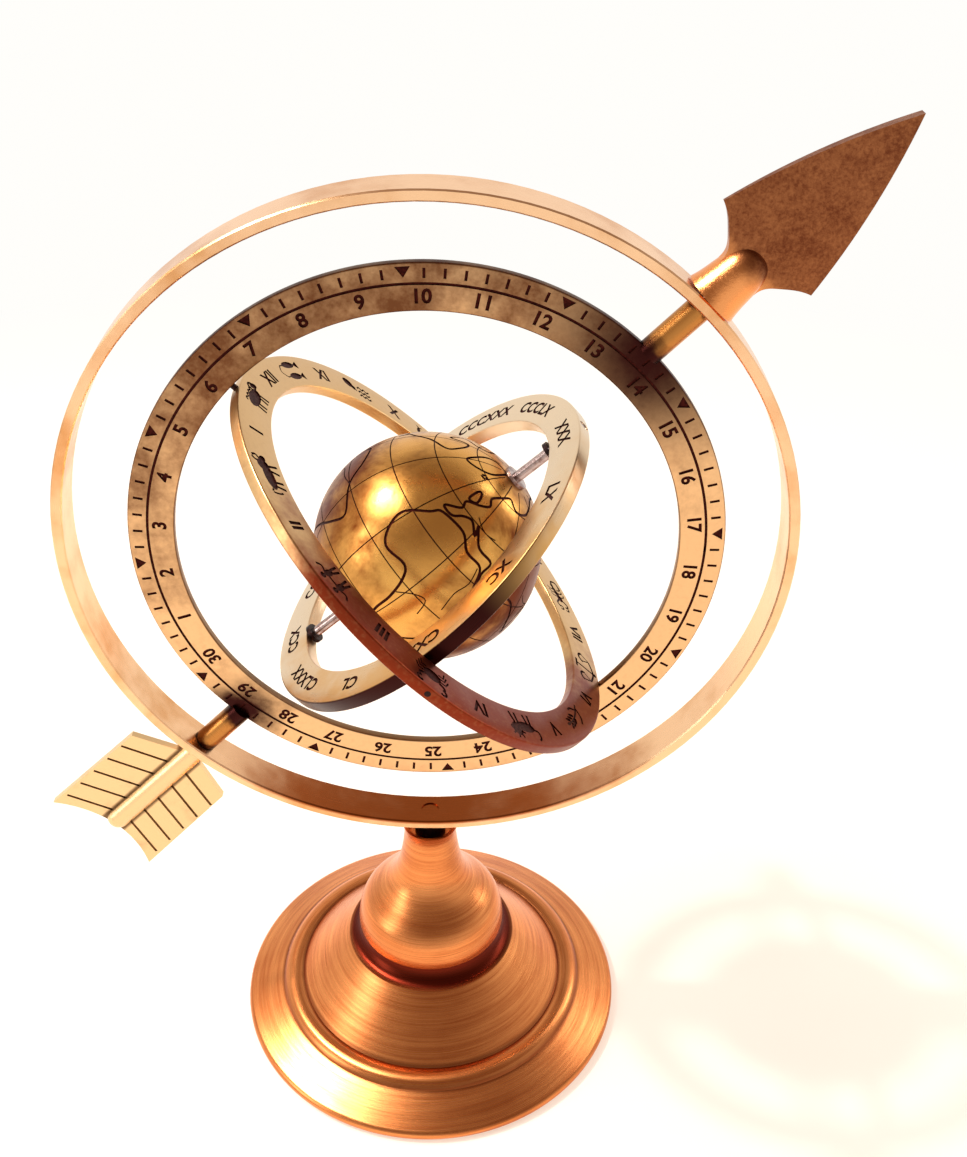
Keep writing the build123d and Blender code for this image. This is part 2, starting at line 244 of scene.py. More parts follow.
class Board:
    """Node tree of one material or of the room, filled in by expressions."""

    def __init__(self, tree):
        self.tree = tree
        self.tree.nodes.clear()

    def add(self, kind, sockets=None, out=0, **settings):
        """Adds a node: first its settings, then its sockets' values or links. Returns its outputs."""
        node = self.tree.nodes.new(kind)
        for name, value in settings.items():
            setattr(node, name, value)
        for name, value in (sockets or {}).items():
            if isinstance(value, Signal):
                self.tree.links.new(value.socket, node.inputs[name])
            else:
                wide = node.inputs[name].type == "RGBA" and len(value) == 3
                node.inputs[name].default_value = (*value, 1) if wide else value
        if isinstance(out, tuple):
            return [Signal(self, node.outputs[name]) for name in out]
        return Signal(self, node.outputs[out]) if len(node.outputs) else None

    def vectors(self, operation, first, second, out="Value"):
        return self.add("ShaderNodeVectorMath", {0: first, 1: second}, out=out, operation=operation)

    def place(self):
        """Position in the object's own frame, which at rest is the shared one."""
        return self.add("ShaderNodeTexCoord", out="Object")

    def along(self, direction, origin=CENTRE):
        """Distance along a direction from an origin."""
        offset = self.vectors("SUBTRACT", self.place(), origin, out="Vector")
        return self.vectors("DOT_PRODUCT", offset, direction)

    def from_point(self, point=CENTRE):
        """Distance from a point."""
        return self.vectors("DISTANCE", self.place(), point)

    def from_axis(self, axis, origin=CENTRE):
        """Distance from a line."""
        height = self.along(axis, origin)
        return (self.from_point(origin) ** 2.0 - height * height) ** 0.5

    def noise(self, scale, detail=3.0, roughness=0.55, distortion=0.0, where=None):
        """Cloudy values about one half."""
        return self.add("ShaderNodeTexNoise", {
            "Vector": where or self.place(), "Scale": scale, "Detail": detail, "Roughness": roughness,
            "Distortion": distortion})

    def mix(self, mask, low, high):
        """Colour that goes from one to another with a mask."""
        return self.add("ShaderNodeMix", {0: mask, 6: low, 7: high}, out=2, data_type="RGBA")

    def turning(self, axis, fine, origin=CENTRE):
        """Fine lines left by turning about an axis, as values about one half."""
        across = axis.orthogonal().normalized()
        first = self.along(across, origin)
        second = self.along(axis.cross(across), origin)
        radius = (first * first + second * second) ** 0.5
        height = self.along(axis, origin)
        drift = 0.012
        change = 40.0
        where = self.add("ShaderNodeCombineXYZ", {
            0: radius * fine + first * fine * drift, 1: height * fine + second * fine * drift,
            2: first * change})
        return self.noise(1.0, detail=2.0, roughness=0.7, where=where)


def new_board(name):
    """Material with an empty node tree, and its board."""
    material = bpy.data.materials.new(name)
    material.use_nodes = True
    return material, Board(material.node_tree)


def metal(board, tone, roughness, bumps, bump_size, metallic=1.0, anisotropic=0.0):
    """Closes a board with a metal surface. The size of its bumps is in millimetres."""
    normal = board.add("ShaderNodeBump", {"Height": bumps, "Strength": 1.0, "Distance": bump_size * MM})
    surface = board.add("ShaderNodeBsdfPrincipled", {
        "Base Color": tone, "Roughness": roughness, "Metallic": metallic, "Anisotropic": anisotropic,
        "Normal": normal})
    board.add("ShaderNodeOutputMaterial", {"Surface": surface})


def engraving_fill(board, tones):
    """Dark wax-like fill at the bottom of the engraving."""
    grain = board.noise(1800.0, detail=2.0)
    tone = board.mix(grain.step(0.35, 0.7), tones.fill, tones.scorched)
    metal(board, tone, grain * 0.3 + 0.4, grain, 0.03)


def outer_ring_polish(board, tones):
    """Golden copper with fine circular lines, and painted shade inside the foot of the hoop."""
    lines = board.turning(BACK, 5200.0)
    clouds = board.noise(55.0, detail=4.0)
    tone = board.mix(clouds.step(0.42, 0.75), tones.ring_light, tones.ring_deep)
    # Painted shade: the inside of the hoop is darkened low down
    low = board.along(-UP) + (clouds - 0.5) * (30 * MM)
    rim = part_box("outer_ring")[1].x
    hoop_foot_shade = low.step(46 * MM, 74 * MM) * board.from_axis(BACK).step(rim - 1.2 * MM, rim - 2.0 * MM)
    tone = board.mix(hoop_foot_shade, tone, tones.ring_shade)
    metal(board, tone, lines * 0.16 + 0.17, lines, 0.01)


def dial_antique_brass(board, tones):
    """Antique brass: brown film on the upper arc, pale below, brazing marks at the sleeves, painted shade at
    the edges.
    """
    lines = board.turning(BACK, 4200.0)
    clouds = board.noise(85.0, detail=6.0, roughness=0.62)
    specks = board.noise(900.0)
    film = (board.along(UP) * 8.0 - board.along(RIGHT) * 3.5 + clouds * 1.5 - 0.76).step(-0.15, 0.7)
    film = (film + (specks - 0.5) * 0.35).held()
    tone = board.mix(film, tones.dial_pale, tones.dial_brown)
    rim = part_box("dial_ring")[1].x
    for place, spread in ((CENTRE + ARROW * rim, 30 * MM), (CENTRE - ARROW * rim, 14 * MM)):
        near = board.from_point(place) + (clouds - 0.5) * (18 * MM)
        tone = board.mix(near.step(spread, 3 * MM), tone, tones.scorched)
    # Painted shade: the dial's inner and outer edges are darkened
    reach = board.from_axis(FORWARD)
    bore = band_of("dial_ring", FORWARD)[0]
    worn = 0.3 * MM
    edges = reach.step(bore + worn, bore + worn / 3).most(reach.step(rim - worn, rim - worn / 3))
    tone = board.mix(edges * 0.7, tone, tones.scorched)
    metal(board, tone, film * 0.14 + lines * 0.1 + 0.28, lines + specks * 0.5, 0.015)


def broad_ring_brass(board, tones):
    """Pale antique brass, tarnished coppery red towards its low front."""
    lines = board.turning(ARROW, 3800.0)
    clouds = board.noise(95.0, detail=6.0, roughness=0.6)
    specks = board.noise(1000.0, detail=2.0)
    low_front = board.along(Vector((0.325, -0.905, -0.268)))
    red = (low_front * 34.0 + clouds * 1.5 - 1.0).step(-0.1, 0.85)
    tone = board.mix((red + (specks - 0.5) * 0.3).held(), tones.equator_pale, tones.equator_red)
    metal(board, tone, lines * 0.12 + clouds * 0.14 + 0.2, lines + specks * 0.4, 0.015)


def inner_ring_brass(board, tones):
    """Pale silvery brass, rubbed golden in front, with painted shade on its rim there."""
    lines = board.turning(UPRIGHT, 3800.0)
    clouds = board.noise(110.0, detail=5.0)
    gold = (board.along(FORWARD) * 20.0 + clouds * 1.6 - 0.9).step(-0.2, 0.8)
    tone = board.mix(gold, tones.inner_pale, tones.inner_gold)
    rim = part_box("inner_ring")[1].y
    # Painted shade: the rim is darkened in front
    near = board.along(FORWARD * 0.9 - POLE * 0.35)
    shaded = board.from_point().step(rim - 0.35 * MM, rim - 0.1 * MM) * near.step(14 * MM, 30 * MM)
    tone = board.mix(shaded, tone, tones.scorched)
    metal(board, tone, lines * 0.12 + clouds * 0.12 + 0.18, lines, 0.012)


def globe_brass(board, tones):
    """Golden brass with brown tarnish in clouds, and browner towards two opposite sides."""
    clouds = board.noise(75.0, detail=7.0, roughness=0.62, distortion=0.35)
    blotches = board.noise(260.0, detail=5.0)
    specks = board.noise(1300.0, detail=2.0)
    # Browner towards two opposite sides: lower right and upper left
    side = abs(board.along(Vector((0.85, 0.0, -0.53)), CENTRE + Vector((-0.004, 0, 0.002))))
    brown = (clouds * 1.9 + blotches * 0.7 + side * 38.0 - 1.5).step(-0.2, 0.7)
    tone = board.mix(brown, tones.globe_gold, tones.globe_brown)
    roughness = brown * 0.12 + blotches * 0.16 + 0.19
    metal(board, tone, roughness, blotches * 0.7 + specks * 0.3, 0.06)


def arrow_head_copper(board, tones):
    """Satin-ground brown copper with fine mottling, and a painted highlight along the socket, which is also
    smoother.
    """
    clouds = board.noise(160.0, detail=6.0, roughness=0.65)
    specks = board.noise(1500.0, roughness=0.7)
    mask = (clouds * 0.8 + specks * 0.9 - 0.35).step(0.2, 0.85)
    tone = board.mix(mask, tones.head_copper, tones.head_dark)
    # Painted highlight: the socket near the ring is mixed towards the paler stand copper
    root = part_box("outer_ring")[1].x
    reach = board.along(ARROW) + (clouds - 0.5) * (4 * MM)
    rubbed = reach.step(root + 11 * MM, root + 6 * MM)
    tone = board.mix(rubbed, tone, tones.spun_light)
    metal(board, tone, mask * 0.14 + 0.33 - rubbed * 0.14, specks, 0.05)


def arrow_tail_brass(board, tones):
    """Cream brass: painted shade in the vanes' grooves and beside the shaft, and grime in patches."""
    specks = board.noise(1400.0)
    clouds = board.noise(150.0, detail=4.0)
    low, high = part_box("arrow_tail")
    shaft = (high.y - low.y) / 2
    depth = abs(board.along(BACK))
    across = abs(board.along(ARROW.cross(FORWARD).normalized()))
    facing = abs(board.vectors("DOT_PRODUCT", board.add("ShaderNodeTexCoord", out="Normal"), FORWARD))
    # Painted shade on the grooves' floors and in the creases beside the shaft; the clouds add grime in
    # patches
    groove = depth.step(0.62 * MM, 0.54 * MM) * across.step(shaft, shaft + 0.3 * MM) * facing.step(0.8, 0.95)
    crease = across.step(shaft + 0.9 * MM, shaft + 0.1 * MM) * depth.step(1.5 * MM, 0.85 * MM)
    shade_and_dirt = (groove * 0.9 + crease * 0.85 + clouds.step(0.55, 0.85) * 0.3).least(1.0)
    tone = board.mix(shade_and_dirt, tones.tail_cream, tones.tail_shadow)
    metal(board, tone, shade_and_dirt * 0.2 + specks * 0.12 + 0.25, specks, 0.03)


def sleeve_brass(board, tones):
    """Turned brass, dark at both ends."""
    lines = board.turning(ARROW, 5000.0)
    clouds = board.noise(300.0)
    reach = abs(board.along(ARROW)) + (clouds - 0.5) * (6 * MM)
    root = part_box("dial_ring")[1].x
    end = root + 11.8 * MM
    burnt = reach.step(root + 4.0 * MM, root + 0.5 * MM).most(reach.step(end - 1.5 * MM, end))
    tone = board.mix(burnt, tones.stub_brass, tones.scorched)
    metal(board, tone, lines * 0.15 + 0.22, lines, 0.02)


def spun_copper(board, tones):
    """Copper brushed in circles about the stand's own axis, with painted shade in its cove and valleys."""
    fine = board.turning(UP, 6500.0, FOOT)
    broad = board.turning(UP, 900.0, FOOT)
    clouds = board.noise(60.0, detail=4.0)
    mask = (fine * 0.7 + broad * 0.6 + clouds * 0.4 - 0.4).step(0.1, 0.85)
    tone = board.mix(mask, tones.spun_light, tones.spun_deep)
    height = board.along(UP, FOOT)
    radius = board.from_axis(UP, FOOT)
    rim, _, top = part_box("base_foot")[1]
    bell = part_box("neck")[1].x
    # Painted shade in the cove under the bell's lip
    cove = radius.step(bell + 2.9 * MM, bell + 2.4 * MM) * height.step(top - 5.2 * MM, top - 4.4 * MM)
    cove = cove * height.step(top + 0.02 * MM, top - 0.04 * MM)
    tone = board.mix(cove, tone, tones.cove_dark)
    # Painted shade along the foot's two valleys
    for valley in (rim - 9.1 * MM, rim - 14.1 * MM):
        shade_and_dirt = abs(radius - valley).step(0.9 * MM, 0.1 * MM) * 0.6
        tone = board.mix(shade_and_dirt, tone, tones.cove_dark)
    metal(board, tone, fine * 0.14 + 0.2, fine, 0.01, anisotropic=0.65)


def axle_steel(board, tones):
    """Plain bright steel, faintly mottled."""
    clouds = board.noise(500.0)
    tone = board.mix(clouds.step(0.4, 0.75), tones.steel, tones.head_dark)
    metal(board, tone, clouds * 0.2 + 0.15, clouds, 0.02)


def blackened_fittings(board, tones):
    """Blackened metal of the spacer, the collars and the pivots' ends."""
    clouds = board.noise(700.0)
    tone = board.mix(clouds.step(0.3, 0.8), tones.dark_steel, tones.scorched)
    metal(board, tone, clouds * 0.2 + 0.3, clouds, 0.03, metallic=0.8)


def green_felt(board, tones):
    """Dark green felt with a fibrous nap."""
    fibres = board.noise(2600.0, detail=4.0, roughness=0.8)
    shadow = (0.01, 0.03, 0.015)
    tone = board.mix(fibres.step(0.3, 0.75), tones.felt, shadow)
    metal(board, tone, 0.95, fibres, 0.1, metallic=0.0)


def finish(look):
    """Material laid out by one of the functions above, under that function's name."""
    material, board = new_board(look.__name__)
    look(board, bpy.context.scene.finishes)
    return material


def dress(look, *nodes):
    """Gives CAD nodes a finish."""
    material = finish(look)
    for name in nodes:
        mesh = frame["nodes"][name].data
        mesh.materials.clear()
        mesh.materials.append(material)


def show(name, data):
    """Adds an object to the scene."""
    thing = bpy.data.objects.new(name, data)
    bpy.context.scene.collection.objects.link(thing)
    return thing


def polar(radius, turn):
    """Flat point at a radius and an angle."""
    return Vector((radius * cos(turn), radius * sin(turn)))


def smooth_line(points, closed=False, steps=4):
    """Points on a smooth curve through the given ones."""
    count = len(points)
    if count < 3:
        return points
    places = [Vector(point) for point in points]
    line = []
    for number in range(count if closed else count - 1):
        around = [number - 1, number, number + 1, number + 2]
        a, b, c, d = (places[at % count if closed else min(max(at, 0), count - 1)] for at in around)
        for step in range(steps):
            t = step / steps
            bend = (2 * a - 5 * b + 4 * c - d) * t ** 2
            line.append(0.5 * (2 * b + (c - a) * t + bend + (3 * b - a - 3 * c + d) * t ** 3))
    return line + ([] if closed else [places[-1]])


def stroke(line, width, closed=False, stretch=lambda point: 1.0):
    """Outline pieces of a stroke along a line: one four-sided shape a segment, mitred where they meet."""
    count = len(line)
    sides = []
    for number, point in enumerate(line):
        before = line[number - 1] if closed or number else point
        after = line[(number + 1) % count] if closed or number < count - 1 else point
        wide = stretch(point)
        run = Vector(((after[0] - before[0]) / wide, after[1] - before[1])).normalized()
        across = Vector((-run.y * wide, run.x)) * width / 2
        sides.append((Vector(point[:2]) + across, Vector(point[:2]) - across))
    following = sides[1:] + (sides[:1] if closed else [])
    return [
        [left, right, next_right, next_left]
        for (left, right), (next_left, next_right) in zip(sides, following)]


def pen(*points, width=0.42):
    """Curved pen stroke through a few points."""
    return stroke(smooth_line(points), width)


def straight(*points, width=0.42):
    """Pen stroke with straight runs."""
    return stroke(points, width)


def filled(*corners):
    """Filled shape with straight sides."""
    return [[Vector(corner) for corner in corners]]


def blob(x, y, wide, high, lean=0.0, corners=14):
    """Filled oval."""
    shape = []
    for number in range(corners):
        turn = tau * number / corners
        along, up = wide * cos(turn), high * sin(turn)
        shape.append(
            Vector((x + along * cos(lean) - up * sin(lean), y + along * sin(lean) + up * cos(lean))))
    return [shape]


def curl(x, y, radius, start, end, width=0.42):
    """Pen stroke along an arc, angles in degrees."""
    count = max(3, ceil(abs(end - start) / 30)) + 1
    arc = []
    for number in range(count):
        turn = radians(start + (end - start) * number / (count - 1))
        arc.append(Vector((x + radius * cos(turn), y + radius * sin(turn))))
    return stroke(arc, width)


def legs(*feet, top, bottom, width=0.5):
    """Straight strokes from one height to another, such as an animal's legs, each with its own splay."""
    pieces = []
    for place, splay in feet:
        pieces += straight((place, top), (place + splay, bottom), width=width)
    return pieces


# The figures are drawn in millimetres, before they are scaled
def ram():
    body = blob(-0.4, 0.3, 2.5, 1.15) + blob(2.6, 1.2, 0.85, 0.6, -0.5)
    horn = curl(2.1, 1.4, 0.75, 20, 300, 0.4)
    fleece = [piece for x in (-2, -0.9, 0.2, 1.2) for piece in curl(x, 1.35, 0.4, 0, 180, 0.35)]
    feet = legs((-2, -0.2), (-1.2, 0.1), (0.7, -0.1), (1.4, 0.3), top=-0.3, bottom=-2.2)
    return body + horn + fleece + feet


def bull():
    body = blob(-0.5, 0.2, 2.7, 1.1) + blob(1.6, 0.6, 1.2, 1.2) + blob(2.9, 0.4, 0.8, 0.6, -0.6)
    horns = pen((2.6, 1.0), (3.3, 1.6), (3.0, 2.4)) + pen((2.2, 1.3), (2.2, 2.0), (2.7, 2.5))
    tail = pen((-3.0, 0.6), (-3.7, 0.9), (-3.8, -0.4), (-3.5, -1.2), width=0.35)
    feet = legs((-2.3, -0.3), (-1.5, 0.2), (0.8, -0.2), (1.7, 0.6), top=-0.4, bottom=-2.3)
    return body + horns + tail + feet


def twins():
    pieces = []
    for x, hand in ((-1.3, -1), (1.3, 1)):
        pieces += blob(x, 1.9, 0.5, 0.55) + blob(x, 0.3, 0.62, 1.15)
        pieces += legs((x - 0.3, -0.2), (x + 0.3, 0.2), top=-0.5, bottom=-2.4, width=0.45)
        pieces += pen((x + hand * 0.3, 1.0), (x + hand * 1.4, 0.6), (x + hand * 2.0, 1.5), width=0.4)
    return pieces + straight((-0.9, 0.8), (0.9, 0.8), width=0.4)


def crab():
    pieces = blob(0, -0.1, 1.7, 1.15)
    for side in (1, -1):
        pieces += pen((side * 1.3, 0.6), (side * 2.3, 1.1), (side * 2.1, 1.9), width=0.5)
        pieces += curl(side * 2.1, 2.2, 0.5, 90 - side * 200, 90 + side * 60, 0.45)
        for number, drop in enumerate((0.1, -0.6, -1.2)):
            knee = (side * (2.6 - 0.2 * number), drop + 0.1)
            foot = (side * (3.2 - 0.4 * number), drop - 0.9)
            pieces += straight((side * 1.2, drop), knee, foot, width=0.32)
    return pieces


def lion():
    body = blob(-0.7, 0.2, 2.4, 0.95) + blob(1.7, 0.9, 1.2, 1.25) + blob(2.7, 0.8, 0.55, 0.45)
    mane = []
    for turn in range(40, 260, 40):
        x, y = cos(radians(turn)), sin(radians(turn))
        mane += straight(*((1.7 + reach * x, 0.9 + reach * y) for reach in (1.1, 1.75)), width=0.35)
    tail = pen((-2.9, 0.5), (-3.8, 0.8), (-3.7, 1.9), (-3.1, 2.3), width=0.4)
    feet = legs((-2.4, -0.4), (-1.6, 0.2), (0.9, 0.0), (1.7, 0.6), top=-0.3, bottom=-2.2)
    return body + mane + tail + feet


def wheat():
    stalk = pen((-3.4, -1.6), (-1.0, -0.6), (1.4, -0.1), (3.3, 0.0), width=0.35)
    pieces = blob(3.6, 0.0, 0.65, 0.3)
    for x, y in ((0.2, -0.35), (1.2, -0.15), (2.2, -0.03)):
        pieces += blob(x + 0.6, y + 0.65, 0.75, 0.32, 0.6) + blob(x + 0.7, y - 0.6, 0.75, 0.32, -0.5)
    leaf = pen((-2.6, -1.3), (-2.0, 0.4), (-0.7, 1.4)) + pen((-2.0, -1.0), (-0.8, -1.9), (0.4, -2.0))
    return stalk + pieces + leaf


def scales():
    post = straight((0, -2.3), (0, 2.1), width=0.4) + straight((-1.2, -2.3), (1.2, -2.3), width=0.45)
    pieces = post + pen((-2.7, 1.2), (0, 1.9), (2.7, 1.2)) + blob(0, 2.3, 0.4, 0.4)
    for side in (1, -1):
        middle = side * 2.7
        pieces += legs((middle, -0.9), (middle, 0.9), top=1.2, bottom=-0.5, width=0.25)
        pieces += curl(middle, -0.4, 1.0, 180, 360, 0.5)
    return pieces


def scorpion():
    pieces = []
    for x, y, size in ((0.9, 0.1, 0.9), (-0.3, -0.1, 0.75), (-1.3, -0.3, 0.6), (-2.2, -0.3, 0.5)):
        pieces += blob(x, y, size, size * 0.85)
    pieces += pen((-2.2, -0.3), (-3.2, 0.2), (-3.1, 1.5), (-2.0, 1.9)) + blob(-1.8, 1.8, 0.5, 0.3)
    for side in (1, -1):
        pieces += pen((1.3, side * 0.5), (2.3, side * 1.5), (3.2, side * 1.0)) + curl(
            3.4, side * 0.8, 0.45, -60, 220, 0.35)
        for x in (0.5, -0.4, -1.2):
            pieces += pen((x, side * 0.5), (x - 0.1, side * 1.5), (x - 0.7, side * 2.0), width=0.28)
    return pieces


def archer():
    bow = curl(0.6, 0.0, 2.3, -80, 80, 0.5) + straight((1.0, -2.25), (-0.6, 0.0), (1.0, 2.25), width=0.25)
    arrow = straight((-3.0, 0.0), (3.4, 0.0), width=0.42)
    head = filled((4.2, 0), (3.1, 0.65), (3.1, -0.65))
    flights = [piece for x in (-3.0, -2.5, -2.0) for piece in straight(
        (x - 0.5, 0.7), (x, 0.0), (x - 0.5, -0.7), width=0.3)]
    return bow + arrow + head + flights


def sea_goat():
    body = blob(0.4, 0.3, 1.7, 0.95, 0.15) + blob(2.4, 1.1, 0.75, 0.5, -0.4)
    horns = pen((2.2, 1.5), (1.6, 2.3), (0.8, 2.4), width=0.35)
    tail = pen((-1.0, 0.0), (-2.3, -0.9), (-3.4, -0.2), (-3.2, 0.9), width=0.75)
    fin = filled((-3.2, 0.7), (-4.0, 1.8), (-3.1, 1.4), (-2.4, 1.9))
    return body + horns + tail + fin + legs((1.0, 0.6), (1.7, 0.9), top=-0.1, bottom=-2.0)


def water_jar():
    jar = blob(-2.0, 0.8, 1.25, 0.95, -0.5) + straight((-1.3, 0.3), (-0.5, -0.2), width=1.0)
    lip = straight((-0.8, 0.5), (-0.2, -0.6), width=0.35)
    waves = []
    for drop in (0.4, -0.6, -1.6):
        waves += pen(
            (0.3, drop), (0.9, drop + 0.5), (1.5, drop), (2.1, drop + 0.5), (2.7, drop), (3.4, drop + 0.45),
            width=0.38)
    return jar + lip + waves


def fishes():
    pieces = pen((-3.0, 1.2), (-3.9, 0.0), (-3.0, -1.2), width=0.25)
    for side in (1, -1):
        y = side * 1.2
        pieces += blob(-0.2, y, 2.0, 0.7) + filled((1.5, y), (3.0, y + 0.8), (3.0, y - 0.8))
        pieces += pen((-2.1, y), (-3.0, y), width=0.25)
    return pieces


FIGURES = (ram, bull, twins, crab, lion, wheat, scales, scorpion, archer, sea_goat, water_jar, fishes)


def words(text, height):
    """Filled shapes of a word, centred, in millimetres for a height in metres."""
    curve = bpy.data.curves.new("word", "FONT")
    curve.body = text
    curve.align_x = "CENTER"
    curve.offset = 0.035
    curve.resolution_u = 3
    holder = bpy.data.objects.new("word", curve)
    mesh = bpy.data.meshes.new_from_object(holder)
    places = [vertex.co for vertex in mesh.vertices]
    low, high = min(place.y for place in places), max(place.y for place in places)
    scale = height / MM / (high - low)
    middle = (high + low) / 2
    shapes = [
        [Vector((places[corner].x * scale, (places[corner].y - middle) * scale)) for corner in face.vertices]
        for face in mesh.polygons]
    bpy.data.objects.remove(holder)
    bpy.data.curves.remove(curve)
    bpy.data.meshes.remove(mesh)
    return shapes


def round_a_ring(shapes, radius, turn):
    """Flat shapes bent round a ring: their tops point outwards and they read clockwise."""
    return [[polar(radius + point.y, turn - point.x / radius) for point in shape] for shape in shapes]


def circle_points(radius, count):
    """Flat points evenly round a circle."""
    return [polar(radius, tau * number / count) for number in range(count)]


def circle_line(inner, outer, count):
    """Engraved circle, one four-sided shape a step."""
    pieces = []
    for number in range(count):
        first, second = (tau * (number + end) / count for end in (0, 1))
        pieces.append([polar(inner, first), polar(outer, first), polar(outer, second), polar(inner, second)])
    return pieces


def area(shape):
    """Signed area of a flat outline."""
    return sum(a.x * b.y - b.x * a.y for a, b in zip(shape, shape[1:] + shape[:1])) / 2


def holds(shape, spot):
    """True where a flat outline has a spot inside it."""
    inside = False
    for a, b in zip(shape, shape[1:] + shape[:1]):
        if (a.y > spot.y) != (b.y > spot.y) and spot.x < a.x + (spot.y - a.y) * (b.x - a.x) / (b.y - a.y):
            inside = not inside
    return inside


def cut_region(borders, marks, lattice=()):
    """Cuts a flat region into triangles along its marks.

    The first border is the region's outside and the others are holes in it. Returns the points, the
    triangles, each with a flag that says if it is in a mark, and the borders as loops of points."""
    least_area = 1e-6
    weld = 1e-5
    points, faces = [], []
    outlines = [*borders, *(mark for mark in marks if abs(area(mark)) > least_area)]
    for shape in outlines:
        faces.append(list(range(len(points), len(points) + len(shape))))
        points += shape if area(shape) > 0 else shape[::-1]
    points += lattice
    net, _, triangles, origins, _, sources = delaunay_2d_cdt(points, [], faces, 0, weld)
    found = {first: number for number, firsts in enumerate(origins) for first in firsts}
    kept = []
    for triangle, inside in zip(triangles, sources):
        if 0 in inside and not any(hole in inside for hole in range(1, len(borders))):
            middle = (net[triangle[0]] + net[triangle[1]] + net[triangle[2]]) / 3
            marked = any(source >= len(borders) and holds(outlines[source], middle) for source in inside)
            kept.append((triangle, marked))
    edges = []
    for border, face in zip(borders, faces):
        loop = [found[corner] for corner in face]
        edges.append(loop if area(border) > 0 else loop[::-1])
    return net, kept, edges


class Shell:
    """A mesh in the making: points in metres, faces, and the slot and smoothness of each face."""

    def __init__(self):
        self.points = []
        self.faces = []
        self.slots = []
        self.smooth = []

    def add_points(self, places):
        start = len(self.points)
        self.points += places
        return list(range(start, len(self.points)))

    def add_face(self, corners, slot=0, smooth=False):
        self.faces.append(corners)
        self.slots.append(slot)
        self.smooth.append(smooth)

    def engrave(self, net, triangles, place, depth, smooth=False):
        """Lays a cut region on a surface: skin on top, marks a depth below, and walls between."""
        top = self.add_points([place(point, 0.0) for point in net])
        in_marks = sorted({corner for triangle, marked in triangles if marked for corner in triangle})
        low = dict(zip(in_marks, self.add_points([place(net[corner], depth) for corner in in_marks])))
        marked_edges = set()
        for triangle, marked in triangles:
            if marked:
                self.add_face([low[corner] for corner in triangle], 1)
                marked_edges |= {(triangle[number], triangle[number - 2]) for number in range(3)}
        for triangle, marked in triangles:
            if not marked:
                self.add_face([top[corner] for corner in triangle], 0, smooth)
                for number in range(3):
                    a, b = triangle[number], triangle[number - 2]
                    if (b, a) in marked_edges:
                        self.add_face([low[a], low[b], top[b], top[a]], 1)
        return top

    def band(self, first, second, flipped=False):
        """Quads between two loops of points that run the same way."""
        if flipped:
            first, second = second, first
        for number in range(len(first)):
            self.add_face([first[number - 1], first[number], second[number], second[number - 1]], 0, True)

    def piece(self, name, look, weld=1e-7):
        """Makes the object, with its seams welded and without points that no face uses."""
        mesh = bpy.data.meshes.new(name)
        mesh.from_pydata([tuple(point) for point in self.points], [], self.faces)
        mesh.materials.append(finish(look))
        mesh.materials.append(finish(engraving_fill))
        mesh.polygons.foreach_set("material_index", self.slots)
        mesh.polygons.foreach_set("use_smooth", self.smooth)
        mesh.update()
        net = bmesh.new()
        net.from_mesh(mesh)
        loose = [point for point in net.verts if not point.link_faces]
        bmesh.ops.delete(net, geom=loose, context="VERTS")
        bmesh.ops.remove_doubles(net, verts=net.verts, dist=weld)
        net.to_mesh(mesh)
        net.free()
        return show(name, mesh)


def corners_of(node):
    """Corners of a CAD node, from the rings' centre."""
    return [vertex.co - CENTRE for vertex in frame["nodes"][node].data.vertices]


def band_of(node, normal):
    """Bore and outer radius of a flat ring about the rings' centre."""
    reaches = [(corner - normal * corner.dot(normal)).length for corner in corners_of(node)]
    return min(reaches), max(reaches)


def worn_edge(rim, half, edge, away):
    """Rounded edge of a ring from front to back, as pairs of radius and height."""
    steps = 4
    front = [(rim - away * edge, half)]
    for number in range(1, steps + 1):
        turn = pi / 2 * number / steps
        front.append((rim - away * edge * (1 - sin(turn)), half - edge * (1 - cos(turn))))
    return front[1:] + [(reach, -height) for reach, height in reversed(front)]


def engraved_ring(name, node, normal, start, marks, look, count):
    """Flat ring with worn edges and engraved marks on its front, in the place of a CAD ring."""
    normal = normal.normalized()
    across = (start - normal * start.dot(normal)).normalized()
    upward = normal.cross(across)
    inset, edge = sizes().inset, sizes().edge
    low, high = band_of(node, normal)
    bore, radius = low + inset, high - inset
    half = max(abs(corner.dot(normal)) for corner in corners_of(node)) - inset

    def place(point, drop):
        return CENTRE + (across * point[0] + upward * point[1]) * MM + normal * (half - drop)

    borders = [circle_points(reach / MM, count) for reach in (radius - edge, bore + edge)]
    net, triangles, loops = cut_region(borders, marks)
    shell = Shell()
    top = shell.engrave(net, triangles, place, sizes().depth)
    back = []
    for loop, rim, away in zip(loops, (radius, bore), (1, -1)):
        previous = [top[corner] for corner in loop]
        for reach, height in worn_edge(rim, half, edge, away):
            following = shell.add_points([
                CENTRE + (across * point.x + upward * point.y) * reach + normal * height
                for point in circle_points(1.0, count)])
            shell.band(following, previous, flipped=away < 0)
            previous = following
        back.append(previous)
    shell.band(back[1], back[0])
    ring = shell.piece(name, look)
    level = 0.999
    for face in ring.data.polygons:
        if abs(face.normal.dot(normal)) > level:
            face.use_smooth = False
    ring.data.set_sharp_from_angle(angle=radians(40))
    return ring


